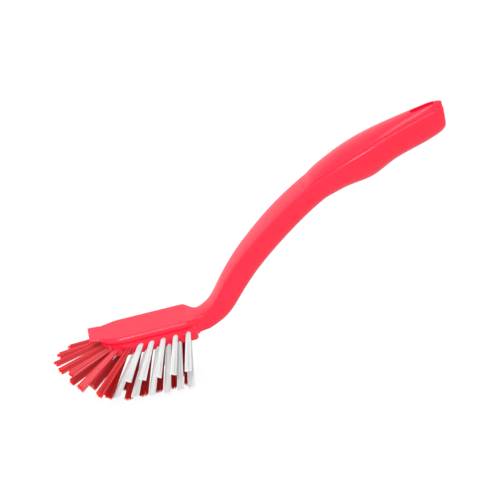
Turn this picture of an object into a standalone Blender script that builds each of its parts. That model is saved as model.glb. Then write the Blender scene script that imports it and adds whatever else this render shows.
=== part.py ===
"""Dish brush: a one-piece moulded handle and head, set with stapled tufts of filament.

The brush lies along X with the scraper lip at -X, +Z up and the tips of the tufts at z = 0.
While it is modelled, x = 0 is the edge of the lip and z = 0 is the flat top of the head.
All sizes are in metres.
"""
import math

import bmesh
import bpy
import numpy as np
from mathutils import Matrix, Vector

# Head: a flat top plate over a block that takes the tufts
HEAD_LENGTH = 0.0575          # edge of the lip to where the plate starts to narrow
HEAD_HEIGHT = 0.0444          # top of the plate above the trimmed tips
HEAD_WIDTH = 0.0276
LIP_WIDTH = 0.0160
LIP_LENGTH = 0.0062           # straight-sided part of the scraper lip
LIP_THICKNESS = 0.0020
LIP_LIFT = 0.0019             # the lip's edge stands this far over the plate
SHOULDER_LENGTH = 0.0130      # over which the lip widens to the full head
PLATE_THICKNESS = 0.0048
RIM_RADIUS = 0.0025           # rounding round the top plate

BLOCK_FRONT = 0.0045          # front of the block under the lip
BLOCK_OVERHANG = 0.0064       # the block runs on this far behind the plate
BLOCK_DEPTH = 0.0122          # top plate to the face that the tufts leave, at the block's front
BLOCK_FALL = 0.0010           # that face lies this much lower at the block's rear
BLOCK_OVERLAP = 0.0014        # the block's form starts this far up inside the plate
BLOCK_SETBACK = 0.0007        # the block's wall starts this far inside the rim
BLOCK_DRAFT = 0.0018          # and leans in this much on its way down
BLOCK_NOSE = 0.0165           # length of the rounded front
BLOCK_FRONT_RAKE = 0.0035     # the front wall leans back this much
BLOCK_REAR_RAKE = 0.0008
BLOCK_CORNER = 0.0022         # back corners, at the lower face
BLOCK_SHOULDER = 0.0080       # back corners, where they run up under the narrowing plate
BLOCK_EDGE = 0.0006           # broken lower edge

# Handle: neck, shank and grip
HANDLE_LENGTH = 0.1725        # level distance from the head's rear to the end
HANDLE_RISE = 0.0944          # how far the end stands over the top plate
NECK_LENGTH = 0.0100
NECK_WIDTH = 0.0120
NECK_THICKNESS = 0.0121
NECK_FILLET = 0.0016          # between the neck's underside and the block's rear
NECK_CROWN = 0.0012           # how far the neck's top is domed
SHANK_WIDTH = 0.0199
SHANK_THICKNESS = 0.0152
SHANK_CROWN = 0.0005          # how far the shank's top is domed
GRIP_LENGTH = 0.0847          # from the step to the end of the handle
GRIP_WIDTH = 0.0262
GRIP_THICKNESS = 0.0203
GRIP_CROWN = 0.0024           # how far the thumb face is domed
CROWN_FULLNESS = 2.4          # power of the domes: 2 is a parabola, more is fuller
PAD_STEP = 0.0005             # the thumb face stands this far over its ledge
PAD_LEDGE = 0.0010            # width of the flat ledge along the ridge
PAD_RAMP = 0.0070             # length of the slope up to the thumb face
END_WIDTH = 0.0124
END_THICKNESS = 0.0150
END_ROUND = 0.0085            # plan rounding of the handle's end
END_DROP = 0.0005             # the top edge falls this much at the very end
END_TAPER = 0.46              # share of the width that the flat of the end keeps
END_THINNING = 0.80           # and its share of the thickness
END_FLATTENING = 0.30         # and its share of the dome
RIDGE_RADIUS = 0.0014         # edge between the shank's top and its sides
GRIP_RIDGE_RADIUS = 0.0008    # the same edge along the grip

# Hanging eye, an upright slot through the end of the handle
EYE_SETBACK = 0.0118          # centre of the slot to the end of the handle
EYE_LENGTH = 0.0145
EYE_WIDTH = 0.0043

# Tufts and the holes that take them
HOLE_DIAMETER = 0.0034
HOLE_DEPTH = 0.0052
TUFT_CLEARANCE = 0.0003       # bundle to hole wall
ROOT_LENGTH = 0.0030          # tightly packed foot of the bundle
ROOT_OVERLAP = 0.0006         # the strands start this far down inside the foot
STRAND_RADIUS = 0.00036
STRAND_RING = 0.00098         # outer strands' circle at the root
STRAND_FLARE = 1.7            # how much wider the bundle is at its tips
CORE_RING = 0.00040           # inner strands' circle at the root
RING_STRANDS = 8
CORE_STRANDS = 3
STRAND_SIDES = 3
ANCHOR_THICKNESS = 0.0003     # flat steel wire that pins the folded bundle
ANCHOR_HEIGHT = 0.0015
ANCHOR_BITE = 0.0004          # how far each end of the wire stands out of the bundle

# Rows along each side: count, first mouth from the lip, last mouth from the block's rear, how much the
# spacing opens towards the heel, distance in from the head's side, depth of the mouth under the top
# plate or None where it is on the block's lower face, forward lean at the heel and at the front, how
# late the lean sets in towards the front, outward splay in degrees, and the free length
CENTRE_ROW = dict(count=5, first=0.0280, heel=0.0074, opening=0.09, inset=0.0107, mouth=None,
                  heel_lean=10.2, front_lean=23.5, onset=1.15, splay=4.0, length=0.0380)
INNER_ROW = dict(count=6, first=0.0238, heel=0.0068, opening=-0.10, inset=0.0053, mouth=None,
                 heel_lean=11.0, front_lean=34.0, onset=2.2, splay=14.5, length=0.0288)
OUTER_ROW = dict(count=5, first=0.0275, heel=0.0068, opening=0.09, inset=0.0012, mouth=0.0082,
                 heel_lean=17.2, front_lean=38.7, onset=1.5, splay=35.0, length=0.0209)

# Fan round the nose: mouth from the lip, distance from the centre line, depth under the plate or
# None on the lower face, heading away from straight ahead and dip below level in degrees, and
# free length
FAN_UPPER = ((0.0060, 0.0025, 0.0075, 6.1, 14.0, 0.0290),
             (0.0084, 0.0066, 0.0079, 14.6, 14.0, 0.0285),
             (0.0128, 0.0101, 0.0081, 31.9, 18.4, 0.0314),
             (0.0208, 0.0121, 0.0082, 36.3, 28.1, 0.0319))
FAN_LOWER = ((0.0115, 0.0034, None, 8.0, 22.1, 0.0294),
             (0.0188, 0.0075, None, 25.9, 45.0, 0.0291))
FAN_MIDDLE = dict(mouth=0.0213, dip=38.7, length=0.0349)

# How finely curves are cut
CROWN_STEPS = 3
RIDGE_STEPS = 3
BELLY_STEPS = 6
SHANK_RINGS = 36
HOLE_SIDES = 12
ROOT_SIDES = 9
EYE_STEPS = 6

BODY_LENGTH = HEAD_LENGTH + HANDLE_LENGTH
BLOCK_REAR = HEAD_LENGTH + BLOCK_OVERHANG
NECK_X = HEAD_LENGTH + NECK_LENGTH
GRIP_X = BODY_LENGTH - GRIP_LENGTH
SHOULDER_X = LIP_LENGTH + SHOULDER_LENGTH


def clear_scene():
    for item in list(bpy.data.objects):
        bpy.data.objects.remove(item, do_unlink=True)


def make_material(name, colour, roughness, metallic=0.0):
    material = bpy.data.materials.new(name)
    material.use_nodes = True
    shader = material.node_tree.nodes["Principled BSDF"]
    shader.inputs["Base Color"].default_value = (*colour, 1.0)
    shader.inputs["Roughness"].default_value = roughness
    shader.inputs["Metallic"].default_value = metallic
    return material


def add_object(name, mesh, material, parent):
    mesh.materials.append(material)
    item = bpy.data.objects.new(name, mesh)
    item.parent = parent
    bpy.context.scene.collection.objects.link(item)
    return item


def add_cutter(name, mesh, parent):
    item = bpy.data.objects.new(name, mesh)
    item.parent = parent
    item.hide_render = True
    item.display_type = "WIRE"
    bpy.context.scene.collection.objects.link(item)
    return item


def combine(target, tool, operation):
    modifier = target.modifiers.new(tool.name, "BOOLEAN")
    modifier.operation = operation
    modifier.object = tool


def mesh_from(name, points, faces):
    mesh = bpy.data.meshes.new(name)
    mesh.from_pydata([tuple(p) for p in points], [], faces)
    shape = bmesh.new()
    shape.from_mesh(mesh)
    bmesh.ops.recalc_face_normals(shape, faces=shape.faces)
    shape.to_mesh(mesh)
    shape.free()
    return mesh


def shade_round(mesh, angle=40.0):
    mesh.shade_smooth()
    mesh.set_sharp_from_angle(angle=math.radians(angle))


def hermite(x, knots, values, slopes):
    """Value and slope at x of the cubic pieces through the knots."""
    i = min(max(int(np.searchsorted(knots, x, side="right")) - 1, 0), len(knots) - 2)
    step = knots[i + 1] - knots[i]
    t = (x - knots[i]) / step
    value = ((1 + 2 * t) * (1 - t) ** 2 * values[i] + t * (1 - t) ** 2 * step * slopes[i]
             + t * t * (3 - 2 * t) * values[i + 1] + t * t * (t - 1) * step * slopes[i + 1])
    slope = (6 * t * (t - 1) * (values[i] - values[i + 1]) / step
             + (1 - t) * (1 - 3 * t) * slopes[i] + t * (3 * t - 2) * slopes[i + 1])
    return value, slope


def fair_curve(*pairs):
    """A curve through (x, value) pairs that never swings past them, for widths and depths."""
    knots, values = (np.array(column, float) for column in zip(*pairs))
    steps = np.diff(knots)
    chords = np.diff(values) / steps
    slopes = np.zeros(len(knots))
    for i in range(1, len(knots) - 1):
        if chords[i - 1] * chords[i] > 0:
            before, after = 2 * steps[i] + steps[i - 1], steps[i] + 2 * steps[i - 1]
            slopes[i] = (before + after) / (before / chords[i - 1] + after / chords[i])
    slopes[-1] = chords[-1]
    return lambda x: hermite(min(max(x, knots[0]), knots[-1]), knots, values, slopes)[0]


def spine_curve(*pairs):
    """A cubic spline through (x, height) pairs, level at the first and free at the last."""
    knots, values = (np.array(column, float) for column in zip(*pairs))
    steps = np.diff(knots)
    chords = np.diff(values) / steps
    count = len(knots)
    rows, right = np.zeros((count, count)), np.zeros(count)
    rows[0, 0] = 1.0
    for i in range(1, count - 1):
        rows[i, i - 1:i + 2] = steps[i], 2 * (steps[i] + steps[i - 1]), steps[i - 1]
        right[i] = 3 * (steps[i] * chords[i - 1] + steps[i - 1] * chords[i])
    rows[-1, -2:] = 1.0, 2.0
    right[-1] = 3 * chords[-1]
    slopes = np.linalg.solve(rows, right)
    return lambda x: hermite(x, knots, values, slopes)


def mix(start, end, share):
    return start + (end - start) * share


def handle_at(share):
    return mix(HEAD_LENGTH, BODY_LENGTH, share)


def shoulder_at(share):
    return mix(LIP_LENGTH, SHOULDER_X, share)


def shank_at(share):
    return mix(NECK_X, GRIP_X, share)


def grip_at(share):
    return mix(GRIP_X, BODY_LENGTH, share)


# The swept line of the handle's top edges, as shares of its length and of its rise
handle_spine = spine_curve(*((handle_at(along), HANDLE_RISE * up) for along, up in (
    (0.0, 0.0), (0.035, -0.012), (0.067, 0.004), (0.102, 0.047), (0.145, 0.149), (0.210, 0.291),
    (0.289, 0.425), (0.390, 0.570), (0.515, 0.712), (0.640, 0.822), (0.757, 0.896), (1.0, 1.0))))
lip_lift = fair_curve((0.0, LIP_LIFT), (LIP_LENGTH, LIP_LIFT / 2), (shoulder_at(0.5), 0.0),
                      (HEAD_LENGTH, 0.0))
half_width = fair_curve(
    (0.0, LIP_WIDTH / 2), (LIP_LENGTH, 1.05 * LIP_WIDTH / 2),
    (shoulder_at(0.3), mix(LIP_WIDTH, HEAD_WIDTH, 0.5) / 2),
    (shoulder_at(0.6), mix(LIP_WIDTH, HEAD_WIDTH, 0.83) / 2), (SHOULDER_X, HEAD_WIDTH / 2),
    (HEAD_LENGTH, HEAD_WIDTH / 2), (NECK_X, NECK_WIDTH / 2), (shank_at(0.05), NECK_WIDTH / 2),
    (shank_at(0.24), mix(NECK_WIDTH, SHANK_WIDTH, 0.18) / 2),
    (shank_at(0.43), mix(NECK_WIDTH, SHANK_WIDTH, 0.6) / 2),
    (shank_at(0.70), 0.99 * SHANK_WIDTH / 2), (GRIP_X, SHANK_WIDTH / 2),
    (grip_at(0.09), mix(SHANK_WIDTH, GRIP_WIDTH, 0.55) / 2), (grip_at(0.37), GRIP_WIDTH / 2),
    (grip_at(0.73), mix(END_WIDTH, GRIP_WIDTH, 0.52) / 2), (BODY_LENGTH, END_WIDTH / 2))
thickness = fair_curve(
    (0.0, LIP_THICKNESS), (LIP_LENGTH, LIP_THICKNESS), (shoulder_at(0.5), PLATE_THICKNESS),
    (HEAD_LENGTH, PLATE_THICKNESS), (NECK_X, NECK_THICKNESS),
    (shank_at(0.33), SHANK_THICKNESS), (shank_at(0.68), SHANK_THICKNESS),
    (GRIP_X, 0.975 * SHANK_THICKNESS), (grip_at(0.14), mix(SHANK_THICKNESS, GRIP_THICKNESS, 0.2)),
    (grip_at(0.37), GRIP_THICKNESS), (grip_at(0.59), mix(END_THICKNESS, GRIP_THICKNESS, 0.53)),
    (grip_at(0.78), mix(END_THICKNESS, GRIP_THICKNESS, 0.46)), (BODY_LENGTH, END_THICKNESS))
crown = fair_curve(
    (0.0, 0.0), (HEAD_LENGTH, 0.0), (NECK_X, NECK_CROWN), (shank_at(0.08), NECK_CROWN),
    (shank_at(0.22), SHANK_CROWN), (GRIP_X - PAD_RAMP / 2, SHANK_CROWN),
    (GRIP_X + PAD_RAMP, 0.4 * GRIP_CROWN), (grip_at(0.3), GRIP_CROWN),
    (grip_at(0.6), GRIP_CROWN), (BODY_LENGTH, 0.6 * GRIP_CROWN))
pad = fair_curve((0.0, 0.0), (GRIP_X - PAD_RAMP / 2, 0.0), (GRIP_X + PAD_RAMP, 1.0),
                 (BODY_LENGTH, 1.0))
edge_radius = fair_curve(
    (0.0, 0.4 * LIP_THICKNESS), (LIP_LENGTH, 0.4 * LIP_THICKNESS), (shoulder_at(0.5), RIM_RADIUS),
    (HEAD_LENGTH, RIM_RADIUS), (NECK_X, 1.25 * RIM_RADIUS), (shank_at(0.1), 1.1 * RIM_RADIUS),
    (shank_at(0.27), RIDGE_RADIUS), (GRIP_X - PAD_RAMP / 2, RIDGE_RADIUS),
    (GRIP_X + PAD_RAMP, GRIP_RIDGE_RADIUS), (BODY_LENGTH, GRIP_RIDGE_RADIUS))
fullness = fair_curve((0.0, 7.0), (HEAD_LENGTH, 7.0), (shank_at(0.06), 2.7), (BODY_LENGTH, 2.7))


def neck_fillet(x):
    """How far the neck's underside drops towards the block's rear face."""
    near = min(max((BLOCK_REAR + NECK_FILLET - x) / NECK_FILLET, 0.0), 1.0)
    inside = min(max((x - HEAD_LENGTH) / (BLOCK_REAR - HEAD_LENGTH), 0.0), 1.0)
    return NECK_FILLET * inside * (1 - math.sqrt(1 - near * near))


def section(half, below, dome, padded, edge, full):
    """Right half of a cross-section, from the middle of its top to the middle of its underside.

    Where padded is 0 the dome runs on into the ridge. Where it is 1 the dome is a thumb face that
    stands a step over a flat ledge along the ridge.
    """
    tilt = math.atan2(CROWN_FULLNESS * dome, half - edge) * (1 - padded)
    inner = half - edge * (1 - math.sin(tilt))
    drop = edge * math.cos(tilt)
    pad_edge = inner - PAD_LEDGE
    pad_foot = inner - 0.6 * PAD_LEDGE
    reach = mix(inner, pad_edge, padded)

    def domed(y):
        return dome * max(0.0, 1 - (y / reach) ** CROWN_FULLNESS)

    points = [(pad_edge * k / CROWN_STEPS, domed(pad_edge * k / CROWN_STEPS) + padded * PAD_STEP)
              for k in range(CROWN_STEPS + 1)]
    points.append((pad_foot, domed(pad_foot)))
    for k in range(RIDGE_STEPS + 1):
        turn = tilt + (math.pi / 2 - tilt) * k / RIDGE_STEPS
        points.append((half - edge + edge * math.sin(turn), edge * math.cos(turn) - drop))
    for k in range(1, BELLY_STEPS):
        turn = math.pi / 2 * k / BELLY_STEPS
        points.append((half * math.cos(turn) ** (2 / full),
                       -drop - (below - drop) * math.sin(turn) ** (2 / full)))
    points.append((0.0, -below))
    return points


def body_stations():
    """Where the body's cross-sections stand, closer together where the form turns."""
    lip = [LIP_LENGTH * k / 4 for k in range(5)]
    shoulder = [shoulder_at(k / 8) for k in range(1, 9)]
    plate = [mix(SHOULDER_X, HEAD_LENGTH, k / 4) for k in range(1, 5)]
    root = [mix(HEAD_LENGTH, BLOCK_REAR, k / 4) for k in range(1, 5)]
    fillet = [BLOCK_REAR + NECK_FILLET * share for share in (0.12, 0.4, 1.0)]
    neck = [mix(fillet[-1], NECK_X, k / 2) for k in range(1, 3)]
    end_start = BODY_LENGTH - END_ROUND
    handle = [mix(NECK_X, end_start, k / SHANK_RINGS) for k in range(1, SHANK_RINGS + 1)]
    end = [end_start + END_ROUND * math.sin(math.radians(a)) for a in (22, 42, 58, 72, 82, 88)]
    return lip + shoulder + plate + root + fillet + neck + handle + end


def body_ring(x):
    """One closed cross-section of the body, square to the spine and upright at the end."""
    if x <= HEAD_LENGTH:
        height, slope = lip_lift(x), 0.0
    else:
        height, slope = handle_spine(x)
    past = max(0.0, (x - BODY_LENGTH + END_ROUND) / END_ROUND)
    closing = math.sqrt(max(0.0, 1 - past * past))
    pitch = math.atan(slope) * closing
    half = half_width(x) * mix(END_TAPER, 1.0, closing)
    lowered = END_DROP * (1 - closing)
    below = thickness(x) * mix(END_THINNING, 1.0, closing) + neck_fillet(x) - lowered
    dome = crown(x) * mix(END_FLATTENING, 1.0, closing)
    outline = section(half, below, dome, pad(x), min(edge_radius(x), 0.45 * half), fullness(x))
    right = [(y, z - lowered) for y, z in outline]
    left = [(-y, z) for y, z in right[-2:0:-1]]
    return [(x - z * math.sin(pitch), y, height + z * math.cos(pitch)) for y, z in right + left]


def loft(rings):
    """Faces of a tube through equal rings, closed at both ends."""
    count = len(rings[0])
    points = [p for ring in rings for p in ring]
    faces = []
    for r in range(len(rings) - 1):
        for k in range(count):
            a, b = r * count + k, r * count + (k + 1) % count
            faces.append((a, b, b + count, a + count))
    faces.append(tuple(range(count)))
    faces.append(tuple(range(len(points) - count, len(points))))
    return points, faces


def block_outline(setback, front, rear, corner):
    """Plan of the tuft block: a long rounded front, straight sides and rounded back corners."""
    side = HEAD_WIDTH / 2 - setback
    nose, steps = BLOCK_NOSE, 9
    right = [(front + nose * (1 - math.cos(math.pi / 2 * k / steps)),
              side * math.sin(math.pi / 2 * k / steps) ** 0.8) for k in range(1, steps + 1)]
    for k in range(5):
        turn = math.pi / 2 * k / 4
        right.append((rear - corner + corner * math.sin(turn),
                      side - corner + corner * math.cos(turn)))
    left = [(x, -y) for x, y in reversed(right)]
    return [(front, 0.0)] + right + left


def block_floor(x):
    """Depth of the block's lower face under the top plate."""
    return BLOCK_DEPTH + BLOCK_FALL * (x - BLOCK_FRONT) / (BLOCK_REAR - BLOCK_FRONT)


def block_roof(x):
    """Depth under the top plate at which the block's form starts, inside the plate."""
    x = min(x, HEAD_LENGTH)
    return thickness(x) - lip_lift(x) - BLOCK_OVERLAP


def block_rings():
    """Layers of the tuft block, from inside the plate down to the face that the tufts leave."""
    broken_share = 1 - BLOCK_EDGE / BLOCK_DEPTH
    rings = []
    for share, broken in ((0.0, 0.0), (0.5, 0.0), (broken_share, 0.0), (1.0, BLOCK_EDGE)):
        outline = block_outline(BLOCK_SETBACK + BLOCK_DRAFT * share + broken,
                                BLOCK_FRONT + BLOCK_FRONT_RAKE * share + broken,
                                BLOCK_REAR - BLOCK_REAR_RAKE * share - broken,
                                mix(BLOCK_SHOULDER, BLOCK_CORNER, min(1.0, 2 * share)))
        rings.append([(x, y, -mix(block_roof(x), block_floor(x), share)) for x, y in outline])
    return rings


def eye_cutter():
    """Upright slot with round ends, which runs past both faces of the handle."""
    middle = BODY_LENGTH - EYE_SETBACK
    radius = EYE_WIDTH / 2
    straight = EYE_LENGTH / 2 - radius
    outline = []
    for side in (1, -1):
        for k in range(EYE_STEPS + 1):
            turn = math.pi * (k / EYE_STEPS - 0.5)
            outline.append((middle + side * (straight + radius * math.cos(turn)),
                            side * radius * math.sin(turn)))
    height = handle_spine(middle)[0]
    return loft([[(x, y, z) for x, y in outline]
                 for z in (height - 2 * GRIP_THICKNESS, height + GRIP_THICKNESS)])


def aim(heading, dip, side):
    """Unit vector of a fan tuft, from its hole outwards."""
    level = math.cos(math.radians(dip))
    return Vector((-level * math.cos(math.radians(heading)),
                   side * level * math.sin(math.radians(heading)), -math.sin(math.radians(dip))))


def tuft_mouth(x, y, depth):
    return Vector((x, y, -(block_floor(x) if depth is None else depth)))


def plan_row(name, row, side):
    """Places and directions of one row's tufts, from the front to the heel."""
    tufts = []
    for i in range(row["count"]):
        share = i / (row["count"] - 1)
        x = mix(row["first"], BLOCK_REAR - row["heel"], mix(share, share * share, row["opening"]))
        heel = math.tan(math.radians(row["heel_lean"]))
        front = math.tan(math.radians(row["front_lean"]))
        lean = mix(heel, front, (1 - share) ** row["onset"])
        way = Vector((-lean, side * math.tan(math.radians(row["splay"])), -1.0)).normalized()
        mouth = tuft_mouth(x, side * (HEAD_WIDTH / 2 - row["inset"]), row["mouth"])
        tufts.append((f"{name}_{i + 1}", mouth, way, row["length"]))
    return tufts


def plan_tufts():
    """Every tuft as name, mouth, direction, free length, filament and level trim."""
    plan = []
    for side, hand in ((-1, "near"), (1, "far")):
        for name, row, filament in (("outer", OUTER_ROW, "white"), ("inner", INNER_ROW, "white"),
                                    ("centre", CENTRE_ROW, "red")):
            level = row is CENTRE_ROW
            for tuft in plan_row(f"tuft_{name}_{hand}", row, side):
                plan.append((*tuft, filament, level))
        for tier, fan in (("upper", FAN_UPPER), ("lower", FAN_LOWER)):
            for i, (x, y, depth, heading, dip, length) in enumerate(fan):
                plan.append((f"tuft_fan_{tier}_{hand}_{i + 1}", tuft_mouth(x, side * y, depth),
                             aim(heading, dip, side), length, "red", False))
    plan.append(("tuft_fan_middle", tuft_mouth(FAN_MIDDLE["mouth"], 0.0, None),
                 aim(0.0, FAN_MIDDLE["dip"], 1), FAN_MIDDLE["length"], "red", False))
    return plan


def hole_frame(mouth, way):
    """Axes at the floor of a tuft's hole: z runs out along the hole, and x along the anchor wire.

    The wire lies across the brush, or upright where the hole runs forward more than down.
    """
    wire = Vector((1.0, 0.0, 0.0)) if abs(way.x) > abs(way.z) else Vector((0.0, 1.0, 0.0))
    across = way.cross(wire).cross(way).normalized()
    turned = Matrix((across, way.cross(across), way)).transposed().to_4x4()
    return Matrix.Translation(mouth - way * HOLE_DEPTH) @ turned


def hole_shape():
    """A hole's cutter: a drilled bore with the two grooves that the anchor wire leaves."""
    radius = HOLE_DIAMETER / 2
    slot = ANCHOR_THICKNESS / 2 + TUFT_CLEARANCE
    reach = radius + ANCHOR_BITE
    start = math.asin(slot / radius)
    ring = []
    for side in (0.0, math.pi):
        ring += [(side, reach, -slot), (side, reach, slot)]
        for k in range(HOLE_SIDES // 2):
            turn = start + (math.pi - 2 * start) * k / (HOLE_SIDES // 2 - 1)
            ring.append((side, radius * math.cos(turn), radius * math.sin(turn)))
    flat = [(math.cos(s) * x - math.sin(s) * y, math.sin(s) * x + math.cos(s) * y)
            for s, x, y in ring]
    return [[(x, y, z) for x, y in flat] for z in (0.0, 2.0 * HOLE_DEPTH)]


def holes_mesh(plan):
    points, faces = [], []
    for _, mouth, way, *_ in plan:
        frame = hole_frame(mouth, way)
        own_points, own_faces = loft(hole_shape())
        faces += [tuple(len(points) + i for i in face) for face in own_faces]
        points += [frame @ Vector(p) for p in own_points]
    return mesh_from("tuft_holes", points, faces)


def strand_roots():
    """Centres of a tuft's strands round its axis."""
    ring = [(STRAND_RING, 2 * math.pi * k / RING_STRANDS) for k in range(RING_STRANDS)]
    core = [(CORE_RING, 2 * math.pi * (k + 0.5) / CORE_STRANDS) for k in range(CORE_STRANDS)]
    return ring + core


def strands_mesh(name, frame, length, floor):
    """Flared strands, cut square to the tuft or, where floor is given, level with the ground."""
    start = TUFT_CLEARANCE + ROOT_LENGTH - ROOT_OVERLAP
    end = HOLE_DEPTH + length
    points, faces = [], []
    for radius, angle in strand_roots():
        own = []
        for z, spread in ((start, 1.0), (end, STRAND_FLARE)):
            centre = Vector((radius * spread * math.cos(angle), radius * spread * math.sin(angle), z))
            for k in range(STRAND_SIDES):
                turn = angle + 2 * math.pi * k / STRAND_SIDES
                offset = Vector((math.cos(turn), math.sin(turn), 0.0)) * STRAND_RADIUS
                own.append(frame @ (centre + offset))
        if floor is not None:
            for k in range(STRAND_SIDES):
                root, tip = own[k], own[k + STRAND_SIDES]
                own[k + STRAND_SIDES] = root + (tip - root) * ((floor - root.z) / (tip.z - root.z))
        rings = [own[:STRAND_SIDES], own[STRAND_SIDES:]]
        own_points, own_faces = loft(rings)
        faces += [tuple(len(points) + i for i in face) for face in own_faces]
        points += own_points
    return mesh_from(name, points, faces)


def root_mesh(name, frame):
    """The packed foot of a tuft, which fills its hole."""
    radius = HOLE_DIAMETER / 2 - TUFT_CLEARANCE
    low, high = 2 * TUFT_CLEARANCE, TUFT_CLEARANCE + ROOT_LENGTH
    rings = [[frame @ Vector((radius * math.cos(2 * math.pi * k / ROOT_SIDES),
                              radius * math.sin(2 * math.pi * k / ROOT_SIDES), z))
              for k in range(ROOT_SIDES)] for z in (low, high)]
    return mesh_from(name, *loft(rings))


def anchor_mesh(name, frame):
    """The flat wire across the foot of a tuft, whose ends stand out into the hole's grooves."""
    reach = HOLE_DIAMETER / 2 - TUFT_CLEARANCE + ANCHOR_BITE
    half = ANCHOR_THICKNESS / 2
    rings = [[frame @ Vector((x, y, z)) for x, y in
              ((-reach, -half), (reach, -half), (reach, half), (-reach, half))]
             for z in (TUFT_CLEARANCE, TUFT_CLEARANCE + ANCHOR_HEIGHT)]
    return mesh_from(name, *loft(rings))


def build_body(plan, parent):
    plastic = make_material("red_polypropylene", (0.93, 0.06, 0.10), 0.32)
    mesh = mesh_from("brush_body", *loft([body_ring(x) for x in body_stations()]))
    body = add_object("brush_body", mesh, plastic, parent)
    combine(body, add_cutter("block_form", mesh_from("block_form", *loft(block_rings())), parent),
            "UNION")
    combine(body, add_cutter("eye_form", mesh_from("eye_form", *eye_cutter()), parent),
            "DIFFERENCE")
    combine(body, add_cutter("hole_forms", holes_mesh(plan), parent), "DIFFERENCE")
    shade_round(mesh)
    return body


def build_tufts(plan, parent):
    filament = {"red": make_material("red_filament", (0.72, 0.04, 0.05), 0.40),
                "white": make_material("white_filament", (0.80, 0.80, 0.78), 0.40)}
    for name, mouth, way, length, colour, level in plan:
        frame = hole_frame(mouth, way)
        tuft = add_object(name, root_mesh(name, frame), filament[colour], parent)
        floor = -HEAD_HEIGHT if level else None
        strands = strands_mesh(name + "_strands", frame, length, floor)
        combine(tuft, add_cutter(name + "_strands", strands, parent), "UNION")
        anchor = anchor_mesh(name + "_anchor", frame)
        combine(tuft, add_cutter(name + "_anchor", anchor, parent), "UNION")


def lengthwise_middle(pieces):
    """Halfway between the foremost strand tip and the end of the handle."""
    reach = [vertex.co.x for piece in pieces for vertex in piece.data.vertices]
    return (min(reach) + max(reach)) / 2


def main():
    clear_scene()
    plan = plan_tufts()
    brush = bpy.data.objects.new("dish_brush", None)
    bpy.context.scene.collection.objects.link(brush)
    build_body(plan, brush)
    build_tufts(plan, brush)
    brush.location = (-lengthwise_middle(brush.children), 0.0, HEAD_HEIGHT)


main()
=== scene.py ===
"""Dish brush: a moulded red handle and head with stapled tufts of white and red filament.

The moulding and the tufts follow the solids, cut much finer. Some sizes were read more closely
afterwards, and differ from the solids' by up to 3 mm.
While the pieces are made, x = 0 is the edge of the lip and z = 0 is the flat top of the solids' head.
All sizes are in metres.
"""
import math

import bmesh
import bpy
import numpy as np
from mathutils import Matrix, Vector


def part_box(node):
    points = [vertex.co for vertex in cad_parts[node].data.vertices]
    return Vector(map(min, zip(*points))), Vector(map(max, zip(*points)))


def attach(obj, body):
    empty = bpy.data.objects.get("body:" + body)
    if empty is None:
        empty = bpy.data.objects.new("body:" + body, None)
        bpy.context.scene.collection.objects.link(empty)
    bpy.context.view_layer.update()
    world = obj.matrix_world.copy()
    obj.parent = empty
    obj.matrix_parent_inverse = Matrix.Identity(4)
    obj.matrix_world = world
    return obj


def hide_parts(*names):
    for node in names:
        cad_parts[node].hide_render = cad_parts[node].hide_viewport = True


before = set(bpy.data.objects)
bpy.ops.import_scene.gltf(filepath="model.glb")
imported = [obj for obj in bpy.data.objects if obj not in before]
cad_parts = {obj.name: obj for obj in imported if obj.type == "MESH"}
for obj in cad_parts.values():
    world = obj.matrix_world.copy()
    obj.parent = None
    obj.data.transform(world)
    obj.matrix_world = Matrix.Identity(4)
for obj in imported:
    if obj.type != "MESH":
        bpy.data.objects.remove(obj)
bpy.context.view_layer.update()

# Head: a flat top plate over a block that takes the tufts
HEAD_LENGTH = 0.0575          # edge of the lip to where the plate starts to narrow
HEAD_HEIGHT = 0.0444          # flat top of the solids' head above the trimmed tips
HEAD_WIDTH = 0.0276           # full width, from which the plate and the block stand back
LIP_WIDTH = 0.0160
LIP_LENGTH = 0.0062           # straight-sided part of the scraper lip
LIP_THICKNESS = 0.0020
LIP_LIFT = 0.0019             # the lip's edge stands this far over the plate
SHOULDER_LENGTH = 0.0130      # over which the lip widens to the plate
LIP_ROUND = 0.3               # rounding of the lip's edges, as a share of its thickness
LIP_CREASE = 0.0012           # the lip turns into the thicker rim over this length
RIM_INSET = 0.0013            # the plate's side stands this far inside the head's full width
RIM_LIFT = 0.0009             # and its top this far over z = 0
RIM_DEPTH = 0.0030            # height of the plate's side, down to the groove over the block
RIM_ROUND = 0.0021            # rounding of the plate's upper edge
RIM_STEP = 0.0010             # depth of the groove, from the plate's side in to its wall

BLOCK_FRONT = 0.0045          # front of the block under the lip
BLOCK_OVERHANG = 0.0064       # the block runs on this far behind the plate
BLOCK_DEPTH = 0.0122          # z = 0 to the face that the tufts leave, at the block's front
BLOCK_FALL = 0.0010           # that face lies this much lower at the block's rear
BLOCK_OVERLAP = 0.0014        # the block's form starts this far up inside the plate
BLOCK_SETBACK = 0.0007        # the block's wall starts this far inside the full width
BLOCK_DRAFT = 0.0018          # and leans in this much on its way down
GROOVE_END = 0.20             # the groove takes this share of the block's height
WALL_START = 0.23             # and from here down the block's wall is out at its full width
BLOCK_NOSE = 0.0165           # length of the rounded front
NOSE_FULLNESS = 0.8           # 1 would be an ellipse, less is fuller
BLOCK_FRONT_RAKE = 0.0035     # the front wall leans back this much
BLOCK_REAR_RAKE = 0.0008
BLOCK_CORNER = 0.0022         # radius of the back corners in the wall's lower half
BLOCK_SHOULDER = 0.0080       # and where they run up under the narrowing plate
BLOCK_ROUND = 0.0012          # rounded lower edge of the block

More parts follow.
